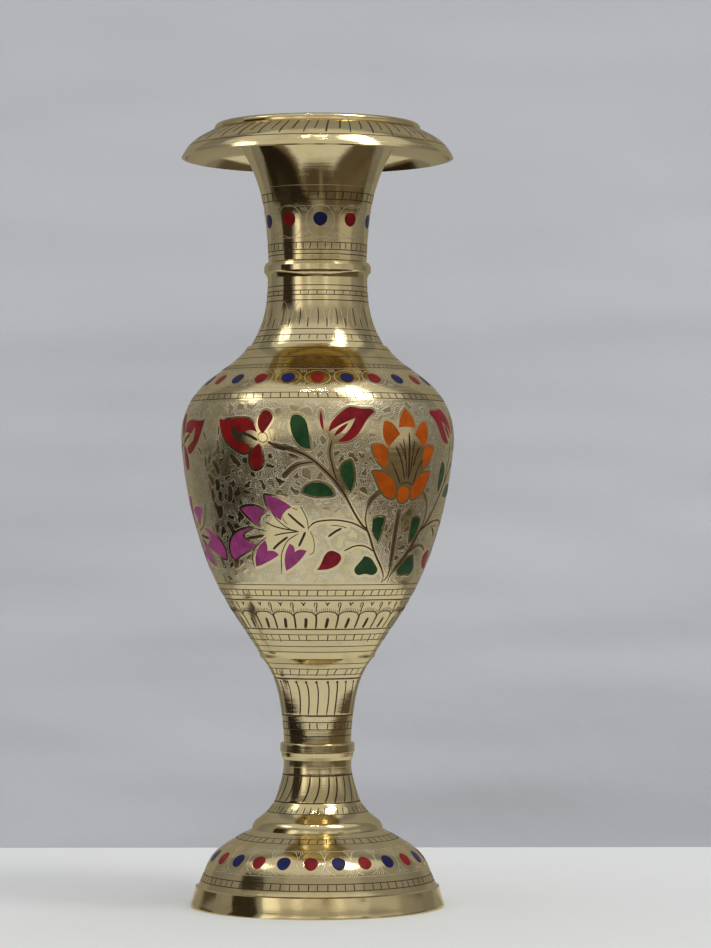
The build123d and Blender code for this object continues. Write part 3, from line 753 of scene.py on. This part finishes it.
# ---------------------------------------------------------------- engraved bands
# Belly: ruled rows above and below the flowers, and the scribbles between the shoulder dots.
tick_row(belly_lac, belly_wall, 121.4, 123.6, 3.6, lean=0.2)
tick_row(belly_lac, belly_wall, 196.3, 198.4, 3.6, lean=-0.5)
tick_row(belly_lac, belly_wall, 208.5, 209.8, 2.3, lean=0.3, width=0.3)
belly_bright = Strokes()
for i in range(DOTS):
    azimuth = i * 360 / DOTS
    belly_bright.run(belly_wall, oval(belly_wall, azimuth, 204.2, 4.9, 4.2), 0.18, tip=0.8)
    for row, lean in ((201.6, 1), (206.7, -1)):
        for k in range(4):
            at = azimuth + 7.5 + (k - 1.5) * 0.95
            slant = hand.uniform(0.3, 0.8) * lean
            belly_bright.run(belly_wall, [(at - slant, row - 0.7), (at + slant, row + 0.7)], 0.22)
for i in range(150):
    azimuth = i * 2.4 + hand.uniform(-0.3, 0.3)
    belly_bright.run(belly_wall, [(azimuth - 0.5, 194.5), (azimuth + 0.5, 195.2)], 0.2)
belly_lac.build("belly_lac", "vase_body", LAC, "lac_black")
belly_bright.build("belly_bright_cuts", "vase_body", BRASS_BRIGHT, "brass")

# Cup: a band of lotus petals, ruled rows, then long strokes down the stem.
cup_lac = Strokes()
PETALS = 24
for i in range(PETALS):
    centre = 6.3 + i * 360 / PETALS
    half = 180 / PETALS
    lean = hand.uniform(-0.25, 0.25)
    left, right = centre - half, centre + half
    cup_lac.run(body_wall, [(left + 0.1, 118.9), (left + 0.9, 118.1), (left + 0.5, 116.5), (left + 0.2, 115.0)],
                0.45)
    cup_lac.run(body_wall, [(left - 0.1, 118.9), (left - 0.8, 118.2), (left - 0.4, 116.8)], 0.32)
    cup_lac.run(body_wall, [(centre - 1.3, 119.0), (centre + lean, 118.1), (centre + 1.3, 119.0)], 0.55)
    cup_lac.run(body_wall, [(centre + lean, 118.3), (centre + lean, 117.5)], 0.6)
    for k in range(11):
        at = left + 0.9 + k * (2 * half - 1.8) / 10 + hand.uniform(-0.12, 0.12)
        dip = 0.9 * math.sin(math.pi * k / 10)
        top = 115.9 + dip * 0.9 + hand.uniform(-0.2, 0.3)
        cup_lac.run(body_wall, [(at, 114.7 + dip - 0.5), (at, top)], 0.20)
    cup_lac.run(body_wall, [(left + 0.3, 113.6), (left + 2.2, 114.9), (centre, 115.3), (right - 2.2, 114.9),
                            (right - 0.3, 113.6)], 0.42)
    cup_lac.run(body_wall, [(left + 0.1, 114.6), (left + 0.4, 112.5), (left + 0.2, 110.5), (left - 0.2, 108.7)],
                0.72)
    cup_lac.run(body_wall, [(centre + 0.9 + lean, 113.0), (centre + 0.5, 111.0), (centre - 0.3, 108.8)], 1.2,
                tip=0.15)
tick_row(cup_lac, body_wall, 104.1, 106.3, 3.7, uneven=0.16, over=0.7)
tick_row(cup_lac, body_wall, 90.6, 92.8, 3.7, lean=0.8, uneven=0.2, over=0.5)
for i in range(25):
    azimuth = i * 14.4 + hand.uniform(-0.8, 0.8)
    bow = hand.uniform(0.2, 1.6)
    cup_lac.run(body_wall, [(azimuth - 1.2, 87.7), (azimuth + bow, 84.5), (azimuth + bow, 79.5),
                            (azimuth - 0.6, 74.8)], hand.uniform(0.45, 0.62), tip=0.5)
    cup_lac.run(body_wall, [(azimuth - 2.4, 87.2), (azimuth - 1.1, 87.9), (azimuth - 0.2, 87.0)], 0.75)
tick_row(cup_lac, body_wall, 69.3, 71.6, 3.5, uneven=0.2, width=0.42)
cup_lac.build("stem_and_cup_lac", "vase_body", LAC, "lac_black")

# Foot: slanted strokes on the bell, ruled rows and brackets round the dots on the dome.
foot_lac, foot_bright = Strokes(), Strokes()
for i in range(24):
    azimuth = i * 15 + hand.uniform(-1.0, 1.0)
    foot_lac.run(foot_wall, [(azimuth + 3.5, 50.9), (azimuth + 2.6, 47.5), (azimuth - 0.5, 44.0),
                             (azimuth - 5.5, 41.1)], hand.uniform(0.5, 0.68), tip=0.45)
    foot_lac.run(foot_wall, [(azimuth + 2.4, 51.3), (azimuth + 4.4, 51.3)], 0.8)
tick_row(foot_lac, foot_wall, 37.0, 39.4, 2.6, lean=0.5, width=0.34)
tick_row(foot_lac, foot_wall, 26.7, 28.1, 3.6, lean=0.2, over=0.3)
tick_row(foot_lac, foot_wall, 10.4, 12.7, 3.6, lean=0.0, over=0.4)
for i in range(DOTS):
    azimuth = -3.5 + i * 360 / DOTS
    for side in (-1, 1):
        arc = [foot_wall.along(azimuth, 20.2, side * 5.3 * math.cos(a), 6.1 * math.sin(a))
               for a in (-1.25, -0.8, -0.4, 0.0, 0.4, 0.8, 1.25)]
        foot_bright.run(foot_wall, arc, 0.24, tip=0.7)
    for row, lean in ((16.4, 1), (24.0, -1)):
        for k in range(4):
            at = azimuth + 7.5 + (k - 1.5) * 1.25
            foot_bright.run(foot_wall, [(at - 0.7 * lean, row - 0.8), (at + 0.7 * lean, row + 0.8)], 0.22)
foot_lac.build("foot_lac", "foot", LAC, "lac_black")
foot_bright.build("foot_bright_cuts", "foot", BRASS_BRIGHT, "brass")

# Lower neck: a band of long leaves between ruled rows.
neck_lac, neck_bright = Strokes(), Strokes()
tick_row(neck_lac, lower_neck_wall, 237.3, 238.9, 3.4, lean=0.3, width=0.30)
tick_row(neck_lac, lower_neck_wall, 219.7, 221.6, 3.5, lean=0.2, width=0.30)
LEAVES = 18
for i in range(LEAVES):
    azimuth = i * 360 / LEAVES + hand.uniform(-0.8, 0.8)
    for side in (-1, 1):
        neck_bright.run(lower_neck_wall, [(azimuth + side * 8.4, 224.2), (azimuth + side * 7.4, 229.0),
                                          (azimuth + side * 4.2, 233.0), (azimuth, 234.8)], 0.22)
    rib = [(azimuth - 3.0, 225.0), (azimuth - 2.2, 228.6), (azimuth - 0.8, 231.6)]
    vein = [(azimuth + 0.8, 225.2), (azimuth + 1.4, 229.0), (azimuth + 0.6, 232.2)]
    between = [(azimuth + 9.6, 224.4), (azimuth + 9.9, 226.4), (azimuth + 10.0, 228.2)]
    neck_bright.run(lower_neck_wall, rib, 0.20)
    neck_lac.run(lower_neck_wall, vein, 0.36)
    neck_lac.run(lower_neck_wall, between, 0.40)
neck_lac.build("lower_neck_lac", "vase_body", LAC, "lac_black")
neck_bright.build("lower_neck_bright_cuts", "vase_body", BRASS_BRIGHT, "brass")

# Trumpet: ruled rows, ovals round the dots.
trumpet_lac, trumpet_bright = Strokes(), Strokes()
tick_row(trumpet_lac, trumpet_wall, 273.9, 276.7, 3.4, lean=0.1)
tick_row(trumpet_lac, trumpet_wall, 254.9, 257.3, 2.9, lean=0.2, width=0.36)
for i in range(NECK_DOTS):
    azimuth = 3.0 + i * 360 / NECK_DOTS
    trumpet_bright.run(trumpet_wall, oval(trumpet_wall, azimuth, 265.6, 5.6, 6.2), 0.22, tip=0.8)
    for k in range(5):
        at = azimuth + 18 + (k - 2) * 1.7
        trumpet_bright.run(trumpet_wall, [(at - 0.8, 260.0), (at + 0.9, 261.6)], 0.22)
        trumpet_bright.run(trumpet_wall, [(at + 0.8, 269.4), (at - 0.9, 270.9)], 0.22)
trumpet_lac.build("trumpet_lac", "neck", LAC, "lac_black")
trumpet_bright.build("trumpet_bright_cuts", "neck", BRASS_BRIGHT, "brass")

# Brim: radial strokes, long and short by turns, between the mouth ring and a ring line.
brim_lac = Strokes()
BRIM_STROKES = 70
for i in range(BRIM_STROKES):
    azimuth = i * 360 / BRIM_STROKES + hand.uniform(-0.5, 0.5)
    foot_z = 296.3 if i % 2 else 298.0
    brim_lac.run(brim_wall, [(azimuth + 1.0, 301.9), (azimuth + 0.2, 300.2), (azimuth - 0.5, 298.6),
                             (azimuth - 1.1, foot_z)], hand.uniform(0.45, 0.80), tip=0.35)
brim_lac.build("brim_lac", "neck", LAC, "lac_black")


# ---------------------------------------------------------------- studio
def plain(name, colour, roughness, bump_scale=0.0, bump=0.0, creases=0.0):
    graph = Graph(name)
    shade = graph.mix(graph.noise(4, 3.0), colour, tuple(c * 0.94 for c in colour[:3]) + (1,))
    graph.set(Base_Color=shade, Roughness=roughness, Specular_IOR_Level=0.2)
    if bump:
        normal = graph.bump(graph.noise(bump_scale, 4.0, 0.55), 0.5, bump)
        if creases:
            normal = graph.bump(graph.noise(1, 2.0, 0.45, graph.stretched(1.1, 1.1, 4.5)), 0.8, creases, normal)
        graph.set(Normal=normal)
    return graph.material


def card(name, corners, material):
    made = add_mesh(name, corners, [(0, 1, 2, 3)], material)
    return made


TABLE_BACK, TABLE_FRONT, TABLE_SIDE = 0.226, -0.38, 0.24
PAPER = plain("table_paper", (0.86, 0.885, 0.90, 1), 0.75, 30, 0.002)


def level(name, left, right, front, back, z, material):
    """A flat rectangle."""
    return card(name, [(left, front, z), (right, front, z), (right, back, z), (left, back, z)], material)


level("table", -TABLE_SIDE, TABLE_SIDE, TABLE_FRONT, TABLE_BACK, 0, PAPER)


def unseen(made, camera=False, glossy=False):
    """Hides a studio object from all rays but those named."""
    made.visible_camera, made.visible_glossy = camera, glossy
    made.visible_diffuse = made.visible_transmission = made.visible_shadow = False
    return made


FAR = 2.6
unseen(level("floor", -FAR, FAR, -FAR, TABLE_BACK, -0.0005, PAPER), camera=True)
unseen(level("lower_floor", -FAR, FAR, TABLE_BACK, FAR, -0.25, PAPER), camera=True)


def screen(name, near, far, reach, low, high, material, across=48, up=24, folds=0.0):
    """An upright curved sheet between two azimuths, with soft horizontal folds."""
    points = []
    for i in range(across + 1):
        for j in range(up + 1):
            turn, z = math.radians(near + (far - near) * i / across), low + (high - low) * j / up
            fold = math.sin(2.6 * z + 1.2 * math.sin(1.7 * turn)) + 0.7 * math.sin(5.0 * turn + 2.1 * z + 2.0)
            fold += 0.35 * math.sin(9.0 * z + 3.0 * math.sin(4.0 * turn))
            r = reach + folds * fold
            points.append((math.sin(turn) * r, -math.cos(turn) * r, z))
    faces = [(i * (up + 1) + j, (i + 1) * (up + 1) + j, (i + 1) * (up + 1) + j + 1, i * (up + 1) + j + 1)
             for i in range(across) for j in range(up)]
    made = add_mesh(name, points, faces, material)
    made.data.shade_smooth()
    return made


def glow(name, colour, strength):
    graph = Graph(name)
    graph.set(Base_Color=(0, 0, 0, 1), Specular_IOR_Level=0.0, Emission_Color=colour + (1,),
              Emission_Strength=strength)
    return graph.material


BACKDROP = plain("backdrop_paper", (0.66, 0.68, 0.73, 1), 0.9, 9, 0.006, 0.06)
screen("backdrop", 142, 218, 2.30, -0.8, 2.2, BACKDROP, across=180, up=160, folds=0.020)
screen("room_behind", 100, 260, FAR, -0.02, 2.5, glow("room_grey", (1.0, 1.0, 1.0), 0.26))
screen("room_front", -100, 100, FAR, -0.02, 2.5, glow("room_front_grey", (1.0, 0.97, 0.92), 0.30))
DAYLIGHT = (1.0, 0.96, 0.88)
for name, near, far, low, high, strength, reach in (("window_left", -52, -37, -0.05, 1.3, 1.25, 2.35),
                                                    ("window_middle", -37, 50, 0.30, 1.1, 0.68, 2.35),
                                                    ("window_high", -37, 50, 1.1, 2.45, 0.42, 2.35),
                                                    ("window_low", -40, 50, -0.55, 0.30, 0.27, 2.35),
                                                    ("window_right", 50, 84, -0.05, 1.0, 0.50, 2.35),
                                                    ("pane_left", -24, -16, 0.30, 1.1, 1.0, 2.2),
                                                    ("pane_right", 16, 24, 0.30, 1.1, 1.0, 2.2)):
    light = glow(name + "_light", DAYLIGHT, strength)
    screen(name, near, far, reach, low, high, light, across=12, up=2).visible_camera = False
ceiling = level("ceiling", -FAR, FAR, -FAR, FAR, 2.48, glow("ceiling_light", (1.0, 0.99, 0.96), 0.68))
ceiling.visible_camera = False

DUSK = (1.0, 0.80, 0.55)


def dark_card(name, near, far, low, high, shade, reach=0.72):
    """An upright dark card that glows dimly and is seen only in the reflections, between two azimuths from the
    camera's side: a painted dark reflection.
    """
    dark_reflection_glow = glow(name + "_cloth", DUSK, shade)
    unseen(screen(name, near, far, reach, low, high, dark_reflection_glow, across=8, up=2), glossy=True)


dark_card("dark_left", -58, -85, -0.2, 0.48, 0.035)
dark_card("dark_right_low", 56, 138, -0.2, 0.09, 0.14)
dark_card("post_left", 4, 9, -0.2, 0.30, 0.25)
dark_card("post_right", 39, 45, -0.2, 0.21, 0.20)
dark_card("low_left", -96, -116, 0.0, 0.024, 0.09, reach=0.155)
# dim glowing sheets beyond the table, seen only in reflections: painted dark reflections
for name, left, right, shade in (("floor_left_near", -0.34, -TABLE_SIDE, 0.16),
                                 ("floor_left_far", -1.6, -0.34, 0.02),
                                 ("floor_right", TABLE_SIDE, 1.6, 0.11)):
    dark_reflection_glow = glow(name + "_cloth", DUSK, shade)
    unseen(level(name, left, right, -1.6, TABLE_BACK, -0.03, dark_reflection_glow), glossy=True)
# pale glowing sheets behind the table, seen only in reflections: a painted reflection of the backdrop
SHEET_PLACE, SHEET_FOOT, SHEET_TOP = TABLE_BACK + 0.04, -0.25, 1.3
for name, left, right, shade in (("glow_sheet_left", -0.75, -0.30, 0.24), ("glow_sheet_middle", -0.30, 0.30, 0.36),
                                 ("glow_sheet_right", 0.30, 0.75, 0.24)):
    corners = [(x, SHEET_PLACE, z) for x, z in ((left, SHEET_FOOT), (right, SHEET_FOOT),
                                                (right, SHEET_TOP), (left, SHEET_TOP))]
    unseen(card(name, corners, glow(name + "_paper", (0.97, 0.98, 1.0), shade)), glossy=True)


def lamp(name, place, target, size, radiance, colour=(1, 1, 1), mirrored=True):
    data = bpy.data.lights.new(name, "AREA")
    data.shape = "RECTANGLE"
    data.size, data.size_y = size
    data.energy = radiance * math.pi * size[0] * size[1]
    data.color = colour
    made = add(name, data)
    made.location = place
    made.rotation_euler = (Vector(target) - Vector(place)).to_track_quat("-Z", "Y").to_euler()
    made.visible_camera, made.visible_glossy = False, mirrored
    return made


COOL, WARM = (0.97, 0.98, 1.0), (1.0, 0.97, 0.92)
lamp("ceiling_right", (0.62, -0.40, 1.52), (0, 0, 0.2), (0.36, 0.55), 7.5, WARM)
lamp("ceiling_left", (-1.02, -0.19, 1.31), (0, 0, 0.2), (0.45, 0.26), 2.3, WARM)
lamp("lamp_near_left", (-0.16, -0.45, 1.7), (0, 0, 0.1), (0.03, 0.03), 90, WARM)
lamp("lamp_near_right", (0.06, -0.45, 1.7), (0, 0, 0.1), (0.03, 0.03), 90, WARM)
lamp("wall_wash_top", (0.0, 0.90, 2.3), (0, 2.3, 0.5), (2.4, 0.3), 0.45, COOL, mirrored=False)
lamp("wall_wash_left", (-1.60, 0.90, 0.10), (0, 2.3, -0.1), (0.3, 1.4), 6.0, COOL, mirrored=False)
lamp("wall_wash_right", (1.60, 0.90, 0.30), (0.1, 2.3, 0.1), (0.3, 1.4), 10.4, COOL, mirrored=False)
lamp("table_fill", (0, -0.10, 1.9), (0, 0, 0), (1.2, 1.2), 0.95, COOL, mirrored=False)

world = bpy.data.worlds.new("soft_room")
bpy.context.scene.world = world
world.use_nodes = True
world.node_tree.nodes["Background"].inputs["Color"].default_value = (1.0, 0.80, 0.54, 1)
world.node_tree.nodes["Background"].inputs["Strength"].default_value = 0.08
bpy.context.scene.view_settings.view_transform = "Standard"

# ---------------------------------------------------------------- camera at the photographer's place
DISTANCE, EYE_HEIGHT = 1.290, 0.1502
LOOK_UP, LOOK_RIGHT = 0.80, 0.66        # degrees
data = bpy.data.cameras.new("camera")
data.lens = 125.3
data.sensor_width = 36
data.clip_start = 0.05
camera = add("camera", data)
camera.location = (0, -DISTANCE, EYE_HEIGHT)
camera.rotation_euler = (math.radians(90 + LOOK_UP), 0, math.radians(-LOOK_RIGHT))
bpy.context.scene.camera = camera
